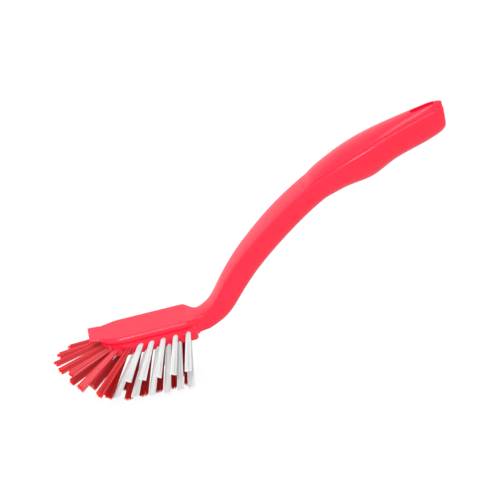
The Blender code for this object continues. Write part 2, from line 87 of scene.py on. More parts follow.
# Handle: neck, shank and grip
HANDLE_LENGTH = 0.1725        # level distance from the head's rear to the end
HANDLE_RISE = 0.0944          # how far the end's top stands over z = 0
NECK_LENGTH = 0.0100
NECK_WIDTH = 0.0138
NECK_THICKNESS = 0.0121
NECK_FILLET = 0.0026          # between the neck's underside and the block's rear
NECK_CROWN = 0.0004           # how far the neck's top is domed
SHANK_WIDTH = 0.0199
SHANK_THICKNESS = 0.0152
SHANK_CROWN = 0.0005          # how far the shank's top is domed
GRIP_LENGTH = 0.0847          # from the step to the end of the handle
GRIP_WIDTH = 0.0262
GRIP_THICKNESS = 0.0203
GRIP_CROWN = 0.0024           # how far the thumb face is domed
CROWN_FULLNESS = 2.4          # power of the domes: 2 is a parabola, more is fuller
BELLY_FULLNESS = 2.7          # power of the handle's underside: 2 is an ellipse, more is squarer
PLATE_FULLNESS = 7.0          # and of the plate's
PAD_STEP = 0.0008             # the thumb face stands this far over its ledge
PAD_LEDGE = 0.0010            # width of the flat ledge along the ridge
PAD_FOOT = 0.6                # the step's foot stands this share of the ledge in from the ridge
PAD_RAMP = 0.0045             # length of the slope up to the thumb face
END_WIDTH = 0.0124
END_THICKNESS = 0.0150
END_ROUND = 0.0085            # plan rounding of the handle's end
END_DROP = 0.0013             # the top edge falls this much at the very end
END_TAPER = 0.46              # share of the width that the flat of the end keeps
END_THINNING = 0.80           # and its share of the thickness
END_FLATTENING = 0.60         # and its share of the dome
NECK_ROUND = 0.0016           # edge between the neck's top and its sides
RIDGE_RADIUS = 0.0018         # the same edge along the shank
GRIP_RIDGE_RADIUS = 0.0017    # and along the grip
EDGE_SHARE = 0.45             # an edge's radius is at most this share of the half width

# Hanging eye, an upright slot through the end of the handle
EYE_SETBACK = 0.0118          # centre of the slot to the end of the handle
EYE_LENGTH = 0.0145
EYE_WIDTH = 0.0043
EYE_FLARE = 0.0003            # rounding of the slot's two mouths
EYE_OVERRUN = 0.0085          # the slot's cutter runs on this far past the handle's faces

# Tufts and the holes that take them
HOLE_DIAMETER = 0.0034
HOLE_DEPTH = 0.0052
TUFT_CLEARANCE = 0.0003       # bundle to the floor of its hole

# Rows along each side: count, first mouth from the lip, last mouth from the block's rear, how much the
# spacing opens towards the heel, distance in from the head's full width, depth of the mouth under
# z = 0 or None where it is on the block's lower face, forward lean at the heel and at the front, how
# late the lean sets in towards the front, outward splay in degrees, and the free length
CENTRE_ROW = dict(count=5, first=0.0280, heel=0.0074, opening=0.09, inset=0.0107, mouth=None,
                  heel_lean=10.2, front_lean=23.5, onset=1.15, splay=4.0, length=0.0380)
INNER_ROW = dict(count=6, first=0.0240, heel=0.0068, opening=-0.10, inset=0.0034, mouth=None,
                 heel_lean=11.0, front_lean=36.5, onset=2.2, splay=10.7, length=0.0288)
OUTER_ROW = dict(count=5, first=0.0275, heel=0.0068, opening=0.09, inset=0.0012, mouth=0.0082,
                 heel_lean=17.2, front_lean=38.7, onset=1.5, splay=35.0, length=0.0209)

# Fan round the nose: each mouth's distance from the lip and from the centre line, and its depth
# under z = 0 or None on the lower face, on each side
FAN_MOUTHS = {"upper": ((0.0060, 0.0025, 0.0075), (0.0084, 0.0066, 0.0079),
                        (0.0128, 0.0101, 0.0081), (0.0208, 0.0121, 0.0082)),
              "lower": ((0.0115, 0.0034, None), (0.0188, 0.0075, None))}
FAN_MIDDLE = 0.0213           # mouth of the tuft on the centre line, from the lip

# How each tuft of the fan stands: heading away from straight ahead and dip below level in degrees,
# free length, how much wider it is at its tips, and how light its filaments are painted: painted shade
# below 1, painted light above
FAN_TUFTS = {"upper_far_1": (5.5, 14.0, 0.0306, 1.30, 0.70),
             "upper_far_2": (13.6, 14.5, 0.0308, 1.50, 0.90),
             "upper_far_3": (29.0, 18.4, 0.0322, 1.50, 0.85),
             "upper_far_4": (36.3, 28.1, 0.0319, 1.60, 0.80),
             "upper_near_1": (6.6, 14.2, 0.0286, 1.30, 0.85),
             "upper_near_2": (14.6, 14.0, 0.0256, 1.55, 1.00),
             "upper_near_3": (31.9, 18.4, 0.0302, 1.80, 1.15),
             "upper_near_4": (36.3, 28.1, 0.0319, 1.70, 0.95),
             "lower_far_1": (0.0, 24.5, 0.0294, 1.30, 0.35),
             "lower_far_2": (25.9, 45.0, 0.0291, 1.60, 0.20),
             "lower_near_1": (4.0, 22.1, 0.0306, 1.80, 0.50),
             "lower_near_2": (25.9, 50.0, 0.0282, 1.90, 0.05),
             "middle": (0.0, 38.7, 0.0349, 1.80, 0.30)}

# Filaments
FILAMENT_RADIUS = 0.00018
FILAMENT_PITCH = 0.00038      # spacing of the filaments in their hole
ROW_PITCH = math.sqrt(0.75)   # spacing of their rows, as a share of that
FILAMENT_SIDES = 6
CUT_START, CUT_END = 0.955, 0.97    # shares of its length between which a filament turns to its cut tip
FILAMENT_SHARES = (0.0, 0.3, 0.65, CUT_START, CUT_END, 1.0)    # its rings outside the hole
FILAMENT_TIP = 0.00010        # length of the blunt rounded tip
TIP_WIDTH = 0.6               # width of its end, as a share of the filament's
TUFT_FLARE = {"white": 1.44, "red": 1.95}    # how much wider a bundle of the rows is at its tips
TIP_STRAY = {"white": 0.00008, "red": 0.00012}    # how far a tip strays sideways
TIP_UNEVEN = {"white": 0.00010, "red": 0.00030}   # and how far it stands out or back
LOCK_STRAY = {"white": 0.00018, "red": 0.00055}   # how far a lock of filaments strays as one
LOCK_UNEVEN = {"white": 0.00020, "red": 0.00090}
LEVEL_STRAY = 0.3             # share of the locks' straying that is left after a level trim
LOCKS = 7                     # locks in a bundle: one in the middle and the rest round it
LOCK_CORE = HOLE_DIAMETER / 6    # radius of the middle one
BOW = 0.00010                 # how far a filament bows between root and tip
OWN_TONE = 0.45               # share of a filament's tone that is its own and not its lock's
# Rows of the same filament are painted lighter or darker for the light and shade they stand in: the
# centre row dark as in the shade between the tufts, the outer row darker than the inner row, which is
# painted light against the outer row's shadow
ROW_PAINTED_LIGHT = {"outer": 0.40, "inner": 1.0, "centre": 0.0}    # painted light and shade: how light a row is painted, from 0 to 1
CHANCE_SEED = 7

# How finely the moulding is cut
CROWN_STEPS = 9
RIDGE_STEPS = 6
BELLY_STEPS = 16
NOSE_STEPS = 28
CORNER_STEPS = 12
BLOCK_ROUND_STEPS = 6
HOLE_SIDES = 28
EYE_STEPS = 14
END_TURN = 3.7                # degrees from one cross-section to the next round the handle's end
BODY_SHARP = 32               # edges of the moulding that turn more than this, in degrees, stay sharp
FILAMENT_SHARP = 50           # and those of a filament

# Colours, all linear: the moulding's two tones, and each filament's darkest and lightest tone and the
# tone of its freshly cut tip
PLASTIC_TONES = ((0.90, 0.008, 0.040), (0.94, 0.011, 0.050))
PLASTIC_ROUGHNESS = (0.17, 0.26)
CLOUD_SCALE = 38.0            # noise scale of the moulding's cloudiness
GRAIN_SCALE = 2600.0          # and of its fine grain
GRAIN_HEIGHT = 0.00005
FILAMENT_TONES = {"white": ((0.74, 0.755, 0.755), (0.97, 0.97, 0.97), (0.88, 0.88, 0.88)),
                  "red": ((0.62, 0.003, 0.005), (1.00, 0.120, 0.155), (0.92, 0.016, 0.006))}
FILAMENT_ROUGHNESS = {"white": 0.45, "red": 0.36}
ROOT_PAINTED_SHADE = {"white": 0.92, "red": 0.85}    # painted shade: share of its tone that a filament keeps at its hole
ROOT_REACH = 0.30             # share of its length over which that painted shade fades out

# Studio
WORLD_LEVEL = 0.92            # light from all round, where 1 is white
FLOOR_SIZE = 6.0
FLOOR_GREY = 0.68             # its colour
FLOOR_WHITE = 0.80            # share of plain white in the floor that the camera sees
FLOOR_LEVEL = 1.12            # strength of that white
LIGHT_AIM = (0.0, 0.0, 0.06)  # the point that both lamps face
LIGHTS = {"top_light": ((0.05, -0.05, 1.3), 0.45, 2.0),       # place, size and watts
          "front_light": ((-0.25, -0.95, 1.05), 0.34, 8.0)}

# The photograph's camera
CAMERA_TARGET = (0.104287, 0.0, 0.031126)    # the point that it aims at
CAMERA_AZIMUTH = -4.0         # degrees from the near side, towards the lip
CAMERA_ELEVATION = 27.6       # degrees above level
CAMERA_ROLL = -11.932         # degrees about the line of sight
CAMERA_DISTANCE = 1.0
CAMERA_LENS = 122.4           # millimetres

BODY_LENGTH = HEAD_LENGTH + HANDLE_LENGTH
BLOCK_REAR = HEAD_LENGTH + BLOCK_OVERHANG
NECK_X = HEAD_LENGTH + NECK_LENGTH
GRIP_X = BODY_LENGTH - GRIP_LENGTH
SHOULDER_X = LIP_LENGTH + SHOULDER_LENGTH
PLATE_WIDTH = HEAD_WIDTH - 2 * RIM_INSET

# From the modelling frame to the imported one: the solid's lowest x is the edge of its lip
SHIFT = Vector((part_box("brush_body")[0].x, 0.0, HEAD_HEIGHT))
TO_WORLD = Matrix.Translation(SHIFT)


def hermite(x, knots, values, slopes):
    """Value and slope at x of the cubic pieces through the knots."""
    i = min(max(int(np.searchsorted(knots, x, side="right")) - 1, 0), len(knots) - 2)
    step = knots[i + 1] - knots[i]
    t = (x - knots[i]) / step
    value = ((1 + 2 * t) * (1 - t) ** 2 * values[i] + t * (1 - t) ** 2 * step * slopes[i]
             + t * t * (3 - 2 * t) * values[i + 1] + t * t * (t - 1) * step * slopes[i + 1])
    slope = (6 * t * (t - 1) * (values[i] - values[i + 1]) / step
             + (1 - t) * (1 - 3 * t) * slopes[i] + t * (3 * t - 2) * slopes[i + 1])
    return value, slope


def fair_curve(*pairs):
    """A curve through (x, value) pairs that never swings past them, for widths and depths."""
    knots, values = (np.array(column, float) for column in zip(*pairs))
    steps = np.diff(knots)
    chords = np.diff(values) / steps
    slopes = np.zeros(len(knots))
    for i in range(1, len(knots) - 1):
        if chords[i - 1] * chords[i] > 0:
            before, after = 2 * steps[i] + steps[i - 1], steps[i] + 2 * steps[i - 1]
            slopes[i] = (before + after) / (before / chords[i - 1] + after / chords[i])
    slopes[-1] = chords[-1]
    return lambda x: hermite(min(max(x, knots[0]), knots[-1]), knots, values, slopes)[0]


def spine_curve(*pairs):
    """A cubic spline through (x, height) pairs, level at the first and free at the last."""
    knots, values = (np.array(column, float) for column in zip(*pairs))
    steps = np.diff(knots)
    chords = np.diff(values) / steps
    count = len(knots)
    rows, right = np.zeros((count, count)), np.zeros(count)
    rows[0, 0] = 1.0
    for i in range(1, count - 1):
        rows[i, i - 1:i + 2] = steps[i], 2 * (steps[i] + steps[i - 1]), steps[i - 1]
        right[i] = 3 * (steps[i] * chords[i - 1] + steps[i - 1] * chords[i])
    rows[-1, -2:] = 1.0, 2.0
    right[-1] = 3 * chords[-1]
    slopes = np.linalg.solve(rows, right)
    return lambda x: hermite(x, knots, values, slopes)


def mix(start, end, share):
    return start + (end - start) * share


def handle_at(share):
    return mix(HEAD_LENGTH, BODY_LENGTH, share)


def shoulder_at(share):
    return mix(LIP_LENGTH, SHOULDER_X, share)


def shank_at(share):
    return mix(NECK_X, GRIP_X, share)


def grip_at(share):
    return mix(GRIP_X, BODY_LENGTH, share)


# The swept line of the handle's top edges, as shares of its length and of its rise
handle_spine = spine_curve(*((handle_at(along), HANDLE_RISE * up) for along, up in (
    (0.0, 0.0), (0.035, -0.012), (0.067, 0.004), (0.102, 0.047), (0.145, 0.149), (0.210, 0.291),
    (0.289, 0.425), (0.390, 0.570), (0.515, 0.712), (0.640, 0.822), (0.757, 0.896), (1.0, 1.0))))
lip_lift = fair_curve((0.0, LIP_LIFT), (LIP_LENGTH, mix(RIM_LIFT, LIP_LIFT, 0.5)),
                      (shoulder_at(0.5), RIM_LIFT), (HEAD_LENGTH, RIM_LIFT))
neck_lift = fair_curve((0.0, RIM_LIFT), (HEAD_LENGTH, RIM_LIFT), (NECK_X, 0.0), (BODY_LENGTH, 0.0))
half_width = fair_curve(
    (0.0, LIP_WIDTH / 2), (LIP_LENGTH, 1.05 * LIP_WIDTH / 2),
    (shoulder_at(0.3), mix(LIP_WIDTH, PLATE_WIDTH, 0.5) / 2),
    (shoulder_at(0.6), mix(LIP_WIDTH, PLATE_WIDTH, 0.83) / 2), (SHOULDER_X, PLATE_WIDTH / 2),
    (HEAD_LENGTH, PLATE_WIDTH / 2), (NECK_X, NECK_WIDTH / 2), (shank_at(0.05), NECK_WIDTH / 2),
    (shank_at(0.24), mix(NECK_WIDTH, SHANK_WIDTH, 0.18) / 2),
    (shank_at(0.43), mix(NECK_WIDTH, SHANK_WIDTH, 0.6) / 2),
    (shank_at(0.70), 0.99 * SHANK_WIDTH / 2), (GRIP_X, SHANK_WIDTH / 2),
    (grip_at(0.09), mix(SHANK_WIDTH, GRIP_WIDTH, 0.55) / 2), (grip_at(0.37), GRIP_WIDTH / 2),
    (grip_at(0.73), mix(END_WIDTH, GRIP_WIDTH, 0.52) / 2), (BODY_LENGTH, END_WIDTH / 2))
thickness = fair_curve(
    (0.0, LIP_THICKNESS), (LIP_LENGTH, LIP_THICKNESS),
    (LIP_LENGTH + LIP_CREASE, mix(LIP_THICKNESS, RIM_DEPTH, 0.5)),
    (shoulder_at(0.5), RIM_DEPTH),
    (HEAD_LENGTH, RIM_DEPTH), (NECK_X, NECK_THICKNESS),
    (shank_at(0.33), SHANK_THICKNESS), (shank_at(0.68), SHANK_THICKNESS),
    (GRIP_X, 0.975 * SHANK_THICKNESS), (grip_at(0.14), mix(SHANK_THICKNESS, GRIP_THICKNESS, 0.2)),
    (grip_at(0.37), GRIP_THICKNESS), (grip_at(0.59), mix(END_THICKNESS, GRIP_THICKNESS, 0.53)),
    (grip_at(0.78), mix(END_THICKNESS, GRIP_THICKNESS, 0.46)), (BODY_LENGTH, END_THICKNESS))
crown = fair_curve(
    (0.0, 0.0), (HEAD_LENGTH, 0.0), (NECK_X, NECK_CROWN), (shank_at(0.08), NECK_CROWN),
    (shank_at(0.22), SHANK_CROWN), (GRIP_X - PAD_RAMP / 2, SHANK_CROWN),
    (GRIP_X + PAD_RAMP, 0.5 * GRIP_CROWN), (grip_at(0.3), GRIP_CROWN),
    (grip_at(0.6), GRIP_CROWN), (BODY_LENGTH, 0.95 * GRIP_CROWN))
pad = fair_curve((0.0, 0.0), (GRIP_X - PAD_RAMP / 2, 0.0), (GRIP_X + PAD_RAMP, 1.0),
                 (BODY_LENGTH, 1.0))
edge_radius = fair_curve(
    (0.0, LIP_ROUND * LIP_THICKNESS), (LIP_LENGTH, LIP_ROUND * LIP_THICKNESS),
    (LIP_LENGTH + LIP_CREASE, 0.7 * RIM_ROUND), (shoulder_at(0.5), RIM_ROUND),
    (HEAD_LENGTH, RIM_ROUND), (NECK_X, NECK_ROUND), (shank_at(0.1), NECK_ROUND),
    (shank_at(0.27), RIDGE_RADIUS), (GRIP_X - PAD_RAMP / 2, RIDGE_RADIUS),
    (GRIP_X + PAD_RAMP, GRIP_RIDGE_RADIUS), (BODY_LENGTH, GRIP_RIDGE_RADIUS))
fullness = fair_curve((0.0, PLATE_FULLNESS), (HEAD_LENGTH, PLATE_FULLNESS),
                      (shank_at(0.06), BELLY_FULLNESS), (BODY_LENGTH, BELLY_FULLNESS))
wall_setback = fair_curve((0.0, RIM_INSET + RIM_STEP), (GROOVE_END, RIM_INSET + RIM_STEP),
                          (WALL_START, BLOCK_SETBACK + WALL_START * BLOCK_DRAFT),
                          (1.0, BLOCK_SETBACK + BLOCK_DRAFT))


def neck_fillet(x):
    """How far the neck's underside drops towards the block's rear face."""
    near = min(max((BLOCK_REAR + NECK_FILLET - x) / NECK_FILLET, 0.0), 1.0)
    inside = min(max((x - HEAD_LENGTH) / (BLOCK_REAR - HEAD_LENGTH), 0.0), 1.0)
    return NECK_FILLET * inside * (1 - math.sqrt(1 - near * near))


def section(half, below, dome, padded, edge, full):
    """Right half of a cross-section, from the middle of its top to the middle of its underside.

    Where padded is 0 the dome runs on into the ridge. Where it is 1 the dome is a thumb face that
    stands a step over a flat ledge along the ridge.
    """
    tilt = math.atan2(CROWN_FULLNESS * dome, half - edge) * (1 - padded)
    inner = half - edge * (1 - math.sin(tilt))
    drop = edge * math.cos(tilt)
    pad_edge = inner - PAD_LEDGE
    pad_foot = inner - PAD_FOOT * PAD_LEDGE
    reach = mix(inner, pad_edge, padded)

    def domed(y):
        return dome * max(0.0, 1 - (y / reach) ** CROWN_FULLNESS)

    points = [(pad_edge * k / CROWN_STEPS, domed(pad_edge * k / CROWN_STEPS) + padded * PAD_STEP)
              for k in range(CROWN_STEPS + 1)]
    points.append((pad_foot, domed(pad_foot)))
    for k in range(RIDGE_STEPS + 1):
        turn = tilt + (math.pi / 2 - tilt) * k / RIDGE_STEPS
        points.append((half - edge + edge * math.sin(turn), edge * math.cos(turn) - drop))
    for k in range(1, BELLY_STEPS):
        turn = math.pi / 2 * k / BELLY_STEPS
        points.append((half * math.cos(turn) ** (2 / full),
                       -drop - (below - drop) * math.sin(turn) ** (2 / full)))
    points.append((0.0, -below))
    return points


def body_ring(x):
    """One closed cross-section of the body, square to the spine and upright at the end."""
    if x <= HEAD_LENGTH:
        height, slope = lip_lift(x), 0.0
    else:
        height, slope = handle_spine(x)
        height += neck_lift(x)
    past = max(0.0, (x - BODY_LENGTH + END_ROUND) / END_ROUND)
    closing = math.sqrt(max(0.0, 1 - past * past))
    pitch = math.atan(slope) * closing
    half = half_width(x) * mix(END_TAPER, 1.0, closing)
    lowered = END_DROP * (1 - closing)
    below = thickness(x) * mix(END_THINNING, 1.0, closing) + neck_fillet(x) - lowered
    dome = crown(x) * mix(END_FLATTENING, 1.0, closing)
    edge = min(edge_radius(x), EDGE_SHARE * half)
    outline = section(half, below, dome, pad(x), edge, fullness(x))
    right = [(y, z - lowered) for y, z in outline]
    left = [(-y, z) for y, z in right[-2:0:-1]]
    return [(x - z * math.sin(pitch), y, height + z * math.cos(pitch)) for y, z in right + left]


def block_floor(x):
    """Depth of the block's lower face under z = 0."""
    return BLOCK_DEPTH + BLOCK_FALL * (x - BLOCK_FRONT) / (BLOCK_REAR - BLOCK_FRONT)


def block_roof(x):
    """Depth under z = 0 at which the block's form starts, inside the plate."""
    x = min(x, HEAD_LENGTH)
    return thickness(x) - lip_lift(x) - BLOCK_OVERLAP


def aim(heading, dip, side):
    """Unit vector of a fan tuft, from its hole outwards."""
    level = math.cos(math.radians(dip))
    return Vector((-level * math.cos(math.radians(heading)),
                   side * level * math.sin(math.radians(heading)), -math.sin(math.radians(dip))))


def tuft_mouth(x, y, depth):
    return Vector((x, y, -(block_floor(x) if depth is None else depth)))


def plan_row(name, row, side):
    """Places and directions of one row's tufts, from the front to the heel."""
    tufts = []
    for i in range(row["count"]):
        share = i / (row["count"] - 1)
        x = mix(row["first"], BLOCK_REAR - row["heel"], mix(share, share * share, row["opening"]))
        heel = math.tan(math.radians(row["heel_lean"]))
        front = math.tan(math.radians(row["front_lean"]))
        lean = mix(heel, front, (1 - share) ** row["onset"])
        way = Vector((-lean, side * math.tan(math.radians(row["splay"])), -1.0)).normalized()
        mouth = tuft_mouth(x, side * (HEAD_WIDTH / 2 - row["inset"]), row["mouth"])
        tufts.append((f"{name}_{i + 1}", mouth, way, row["length"]))
    return tufts


def plan_tufts():
    """Every tuft as name, mouth, direction, free length, filament and level trim."""
    plan = []
    for side, hand in ((-1, "near"), (1, "far")):
        for name, row, filament in (("outer", OUTER_ROW, "white"), ("inner", INNER_ROW, "white"),
                                    ("centre", CENTRE_ROW, "red")):
            level = row is CENTRE_ROW
            for tuft in plan_row(f"tuft_{name}_{hand}", row, side):
                plan.append((*tuft, filament, level))
        for tier, mouths in FAN_MOUTHS.items():
            for i, (x, y, depth) in enumerate(mouths):
                spot = f"{tier}_{hand}_{i + 1}"
                heading, dip, length = FAN_TUFTS[spot][:3]
                plan.append((f"tuft_fan_{spot}", tuft_mouth(x, side * y, depth),
                             aim(heading, dip, side), length, "red", False))
    heading, dip, length = FAN_TUFTS["middle"][:3]
    plan.append(("tuft_fan_middle", tuft_mouth(FAN_MIDDLE, 0.0, None), aim(heading, dip, 1), length,
                 "red", False))
    return plan


def hole_frame(mouth, way):
    """Axes at the floor of a tuft's hole: z runs out along the hole.

    x lies across the brush, or upright where the hole runs forward more than down.
    """
    guide = Vector((1.0, 0.0, 0.0)) if abs(way.x) > abs(way.z) else Vector((0.0, 1.0, 0.0))
    across = way.cross(guide).cross(way).normalized()
    turned = Matrix((across, way.cross(across), way)).transposed().to_4x4()
    return Matrix.Translation(mouth - way * HOLE_DEPTH) @ turned


def body_stations():
    """Where the moulding's cross-sections stand, closer together where the form turns."""
    lip = [LIP_LENGTH * k / 8 for k in range(9)]
    crease = [LIP_LENGTH + LIP_CREASE * k / 5 for k in range(1, 6)]
    shoulder = [mix(crease[-1], SHOULDER_X, k / 24) for k in range(1, 25)]
    plate = [mix(SHOULDER_X, HEAD_LENGTH, k / 8) for k in range(1, 9)]
    root = [mix(HEAD_LENGTH, BLOCK_REAR, k / 14) for k in range(1, 15)]
    fillet = [BLOCK_REAR + NECK_FILLET * (1 - math.cos(math.radians(90 * k / 8))) for k in range(1, 9)]
    neck = [mix(fillet[-1], NECK_X, k / 5) for k in range(1, 6)]
    end_start = BODY_LENGTH - END_ROUND
    handle = [mix(NECK_X, end_start, k / 130) for k in range(1, 131)]
    end = [end_start + END_ROUND * math.sin(math.radians(END_TURN * k))
           for k in range(1, int(90 / END_TURN) + 1)]
    return lip + crease + shoulder + plate + root + fillet + neck + handle + end


def loft(rings):
    """Faces of a tube through equal rings, closed at both ends."""
    count = len(rings[0])
    points = [p for ring in rings for p in ring]
    faces = []
    for r in range(len(rings) - 1):
        for k in range(count):
            a, b = r * count + k, r * count + (k + 1) % count
            faces.append((a, b, b + count, a + count))
    faces.append(tuple(range(count)))
    faces.append(tuple(range(len(points) - count, len(points))))
    return points, faces


def block_outline(setback, front, rear, corner):
    """Plan of the tuft block: a long rounded front, straight sides and rounded back corners."""
    side = HEAD_WIDTH / 2 - setback
    right = []
    for k in range(1, NOSE_STEPS + 1):
        turn = math.pi / 2 * k / NOSE_STEPS
        right.append((front + BLOCK_NOSE * (1 - math.cos(turn)), side * math.sin(turn) ** NOSE_FULLNESS))
    for k in range(CORNER_STEPS + 1):
        turn = math.pi / 2 * k / CORNER_STEPS
        right.append((rear - corner + corner * math.sin(turn),
                      side - corner + corner * math.cos(turn)))
    left = [(x, -y) for x, y in reversed(right)]
    return [(front, 0.0)] + right + left


def block_rings():
    """Layers of the tuft block, from inside the plate down round its lower edge."""
    layers = [(share, 0.0) for share in (0.0, GROOVE_END, WALL_START)]
    layers += [(0.1 * k, 0.0) for k in range(3, 9)]
    for k in range(BLOCK_ROUND_STEPS + 1):
        turn = math.pi / 2 * k / BLOCK_ROUND_STEPS
        layers.append((1 - BLOCK_ROUND * (1 - math.sin(turn)) / BLOCK_DEPTH,
                       BLOCK_ROUND * (1 - math.cos(turn))))
    rings = []
    for share, inset in layers:
        outline = block_outline(wall_setback(share) + inset,
                                BLOCK_FRONT + BLOCK_FRONT_RAKE * share + inset,
                                BLOCK_REAR - BLOCK_REAR_RAKE * share - inset,
                                mix(BLOCK_SHOULDER, BLOCK_CORNER, min(1.0, 2 * share)))
        rings.append([(x, y, -mix(block_roof(x), block_floor(x), share)) for x, y in outline])
    return rings


def eye_cutter():
    """Upright slot with round ends, whose mouths follow the handle's faces and are rounded."""
    middle = BODY_LENGTH - EYE_SETBACK
    radius = EYE_WIDTH / 2
    straight = EYE_LENGTH / 2 - radius

    def layer(rise, spread, low):
        ring = []
        for side in (1, -1):
            for k in range(EYE_STEPS + 1):
                turn = math.pi * (k / EYE_STEPS - 0.5)
                x = middle + side * (straight + (radius + spread) * math.cos(turn))
                y = side * (radius + spread) * math.sin(turn)
                face = handle_spine(x)[0] + (-thickness(x) if low else crown(x) + PAD_STEP)
                ring.append((x, y, face + rise))
        return ring

    rounding = [(EYE_FLARE * math.sin(math.radians(t)), EYE_FLARE * (1 - math.sin(math.radians(t))))
                for t in (0, 15, 30, 45, 60, 90)]
    layers = [layer(-EYE_OVERRUN, EYE_FLARE, True)]
    layers += [layer(depth, spread, True) for depth, spread in rounding]
    layers += [layer(-depth, spread, False) for depth, spread in reversed(rounding)]
    layers.append(layer(EYE_OVERRUN, EYE_FLARE, False))
    return loft(layers)


def holes_mesh(plan):
    """Cutters of every tuft's drilled hole, which run out past its mouth."""
    points, faces = [], []
    radius = HOLE_DIAMETER / 2
    turns = [2 * math.pi * k / HOLE_SIDES for k in range(HOLE_SIDES)]
    ring = [(radius * math.cos(turn), radius * math.sin(turn)) for turn in turns]
    for _, mouth, way, *_ in plan:
        axes = hole_frame(mouth, way)
        own_points, own_faces = loft([[(x, y, z) for x, y in ring] for z in (0.0, 2.0 * HOLE_DEPTH)])
        faces += [tuple(len(points) + i for i in face) for face in own_faces]
        points += [axes @ Vector(p) for p in own_points]
    return mesh_from("tuft_holes", points, faces)


def mesh_from(name, points, faces):
    mesh = bpy.data.meshes.new(name)
    mesh.from_pydata([tuple(p) for p in points], [], faces)
    shape = bmesh.new()
    shape.from_mesh(mesh)
    bmesh.ops.recalc_face_normals(shape, faces=shape.faces)
    shape.to_mesh(mesh)
    shape.free()
    return mesh


def add_object(name, mesh):
    item = bpy.data.objects.new(name, mesh)
    bpy.context.scene.collection.objects.link(item)
    return item


def carve(target, mesh, operation):
    """Joins or cuts a mesh and applies the result."""
    tool = add_object(mesh.name, mesh)
    modifier = target.modifiers.new(mesh.name, "BOOLEAN")
    modifier.operation = operation
    modifier.object = tool
    bpy.context.view_layer.update()
    seen = target.evaluated_get(bpy.context.evaluated_depsgraph_get())
    made = bpy.data.meshes.new_from_object(seen)
    target.modifiers.clear()
    target.data = made
    bpy.data.objects.remove(tool, do_unlink=True)


def build_body(plan):
    mesh = mesh_from("moulded_body", *loft([body_ring(x) for x in body_stations()]))
    body = add_object("moulded_body", mesh)
    carve(body, mesh_from("block_form", *loft(block_rings())), "UNION")
    carve(body, mesh_from("eye_form", *eye_cutter()), "DIFFERENCE")
    carve(body, holes_mesh(plan), "DIFFERENCE")
    body.data.name = "moulded_body"
    body.data.transform(TO_WORLD)
    body.data.shade_smooth()
    body.data.set_sharp_from_angle(angle=math.radians(BODY_SHARP))
    modifier = body.modifiers.new("weighted", "WEIGHTED_NORMAL")
    modifier.keep_sharp = True
    body.data.materials.clear()
    body.data.materials.append(plastic_material())
    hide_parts("brush_body")
    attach(body, "root")


def bundle_spots():
    """Centres of the filaments in a hole, on a close hexagonal packing."""
    reach = HOLE_DIAMETER / 2 - FILAMENT_RADIUS
    rows = math.ceil(reach / (FILAMENT_PITCH * ROW_PITCH))
    spots = []
    for row in range(-rows, rows + 1):
        for column in range(-rows, rows + 1):
            x = FILAMENT_PITCH * (column + 0.5 * (row % 2))
            y = FILAMENT_PITCH * row * ROW_PITCH
            if math.hypot(x, y) <= reach:
                spots.append((x, y))
    return spots


def lock_of(x, y):
    """Which lock of its bundle a filament belongs to."""
    if math.hypot(x, y) < LOCK_CORE:
        return 0
    return 1 + int((math.atan2(y, x) / (2 * math.pi) + 0.5) * (LOCKS - 1)) % (LOCKS - 1)


def filaments(name, axes, length, floor, colour, flare, painted_brightness, chance):
    """One tuft: fine rods that run straight in their hole, flare and bow a little and end blunt."""
    end = HOLE_DEPTH + length
    stray, uneven = TIP_STRAY[colour], TIP_UNEVEN[colour]
    drift, reach = LOCK_STRAY[colour], LOCK_UNEVEN[colour]
    if floor is not None:
        drift, reach = LEVEL_STRAY * drift, LEVEL_STRAY * reach
    locks = [(chance.uniform(-drift, drift), chance.uniform(-drift, drift),
              chance.uniform(-reach, reach), chance.random()) for _ in range(LOCKS)]
    turns = [2 * math.pi * k / FILAMENT_SIDES for k in range(FILAMENT_SIDES)]
    circle = [Vector((math.cos(t), math.sin(t), 0.0)) * FILAMENT_RADIUS for t in turns]
    points, faces, tones, runs = [], [], [], []
    for x, y in bundle_spots():
        root = Vector((x, y, TUFT_CLEARANCE))
        mouth = Vector((x, y, HOLE_DEPTH))
        lock = locks[lock_of(x, y)]
        tip = Vector((x * flare + lock[0], y * flare + lock[1],
                      end + lock[2] + chance.uniform(-uneven, uneven)))
        tip += Vector((chance.uniform(-stray, stray), chance.uniform(-stray, stray), 0.0))
        bow = Vector((chance.uniform(-BOW, BOW), chance.uniform(-BOW, BOW), 0.0))
        # Painted light and shade: the filament's random tone is scaled by its tuft's painted brightness
        tone = mix(lock[3], chance.random(), OWN_TONE) * painted_brightness
        if floor is not None:
            low, high = axes @ mouth, axes @ tip
            tip = mouth + (tip - mouth) * ((floor - low.z) / (high.z - low.z))
        rings = [[axes @ (root + p) for p in circle]]
        runs += [0.0] * FILAMENT_SIDES
        for share in FILAMENT_SHARES:
            centre = mouth.lerp(tip, share) + bow * (4 * share * (1 - share))
            if share == 1.0:
                centre = centre - Vector((0.0, 0.0, FILAMENT_TIP))
            rings.append([axes @ (centre + p) for p in circle])
            runs += [share] * FILAMENT_SIDES
        rings.append([axes @ (tip + p * TIP_WIDTH) for p in circle])
        runs += [1.0] * FILAMENT_SIDES
        own_points, own_faces = loft(rings)
        faces += [tuple(len(points) + i for i in face) for face in own_faces]
        points += own_points
        tones += [tone] * len(own_points)
    mesh = mesh_from(name, points, faces)
    for label, values in (("tone", tones), ("run", runs)):
        mesh.attributes.new(label, "FLOAT", "POINT").data.foreach_set("value", values)
    return mesh


def trim_height(name, mouth, way, length, level):
    """Height at which a tuft is trimmed level, or None where it is cut square to itself."""
    if level:
        return -HEAD_HEIGHT
    if "inner" in name:
        return (mouth + way * length).z
    return None


def tuft_look(name, colour):
    """How much a tuft flares and how light its filaments are painted for the light or shade it stands
    in.
    """
    row = name.split("_")[1]
    if row == "fan":
        return FAN_TUFTS[name.removeprefix("tuft_fan_")][3:]
    return TUFT_FLARE[colour], ROW_PAINTED_LIGHT[row]


